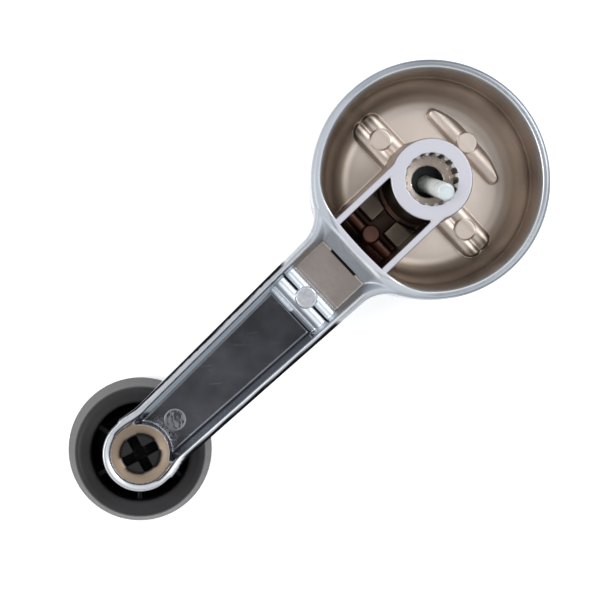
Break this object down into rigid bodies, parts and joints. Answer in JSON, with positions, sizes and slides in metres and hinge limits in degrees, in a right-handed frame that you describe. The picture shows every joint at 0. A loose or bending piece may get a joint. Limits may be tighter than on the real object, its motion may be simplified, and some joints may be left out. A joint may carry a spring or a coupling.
{
  "type": "window crank handle",
  "caption": "Crank handle for a vehicle window: hollow die-cast head with a serrated spindle socket, channel-section arm and a snap-in turning knob.",
  "frame": {"origin": "on the spindle axis, in the plane of the head's open rim", "axes": "+Z out of the head's open back, towards the door panel; +X along the arm to the knob; +Y completes the right-handed frame"},
  "size_m": [0.1612, 0.0652, 0.0411],
  "materials": {
    "casting_chrome": "nickel and chrome plated die casting, satin inside and bright outside",
    "cap_chrome": "bright chrome",
    "screw_zinc": "bright zinc plate",
    "washer_fibre": "dark fibre",
    "knob_plastic": "moulded satin plastic",
    "face_chrome": "bright chrome"
  },
  "bodies": {
    "crank": {"crank_casting": "casting_chrome"},
    "cap": {"center_cap": "cap_chrome"},
    "washer": {"screw_washer": "washer_fibre"},
    "screw": {"retaining_screw": "screw_zinc"},
    "knob": {"knob": "knob_plastic", "knob_face": "face_chrome"}
  },
  "joints": [
    {"name": "knob_spin", "type": "hinge", "parent": "crank", "child": "knob", "pos_m": [0.108, 0, -0.013], "axis": [0, 0, 1], "continuous": true},
    {"name": "screw_tilt", "type": "hinge", "parent": "crank", "child": "washer", "pos_m": [0, 0, -0.0154], "axis": [1, 0, 0], "range_deg": [0, 31]},
    {"name": "screw_spin", "type": "hinge", "parent": "washer", "child": "screw", "pos_m": [0, 0, -0.0154], "axis": [0, 0.2672, 0.9636], "continuous": true},
    {"name": "cap_release", "type": "slide", "parent": "crank", "child": "cap", "axis": [0, 0, -1], "range_m": [0, 0.008]}
  ]
}
